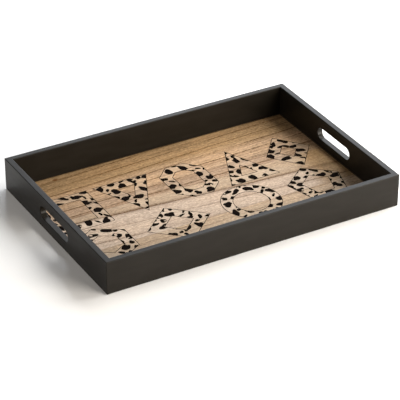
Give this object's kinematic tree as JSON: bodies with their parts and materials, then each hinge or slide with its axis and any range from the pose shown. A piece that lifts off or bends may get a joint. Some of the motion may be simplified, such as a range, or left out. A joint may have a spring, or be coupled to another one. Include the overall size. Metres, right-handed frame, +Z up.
{
  "type": "serving tray",
  "caption": "Rectangular wooden serving tray with black painted mitred walls, a finger slot in each end and a veneered base printed with an animal-spot pattern.",
  "frame": {"origin": "middle of the underside, on the surface that the tray stands on", "axes": "+X along the tray towards the right end, +Y towards the back wall, +Z up"},
  "size_m": [0.45, 0.305, 0.049],
  "materials": {
    "black_paint": "satin black paint on sanded wood",
    "face_veneer": "matt clear lacquer",
    "pale_face_veneer": "matt clear lacquer",
    "plywood": "raw sawn edge",
    "backing": "raw sanded veneer",
    "steel": "plain drawn wire",
    "print_ink": "matt screen ink"
  },
  "bodies": {
    "root": {"front_board": "black_paint", "back_board": "black_paint", "left_end_board": "black_paint", "right_end_board": "black_paint", "back_stave": "face_veneer", "middle_stave": "pale_face_veneer", "front_stave": "face_veneer", "plywood_core": "plywood", "backing_veneer": "backing", "corner_brads": "steel", "base_pins": "steel"}
  },
  "joints": []
}
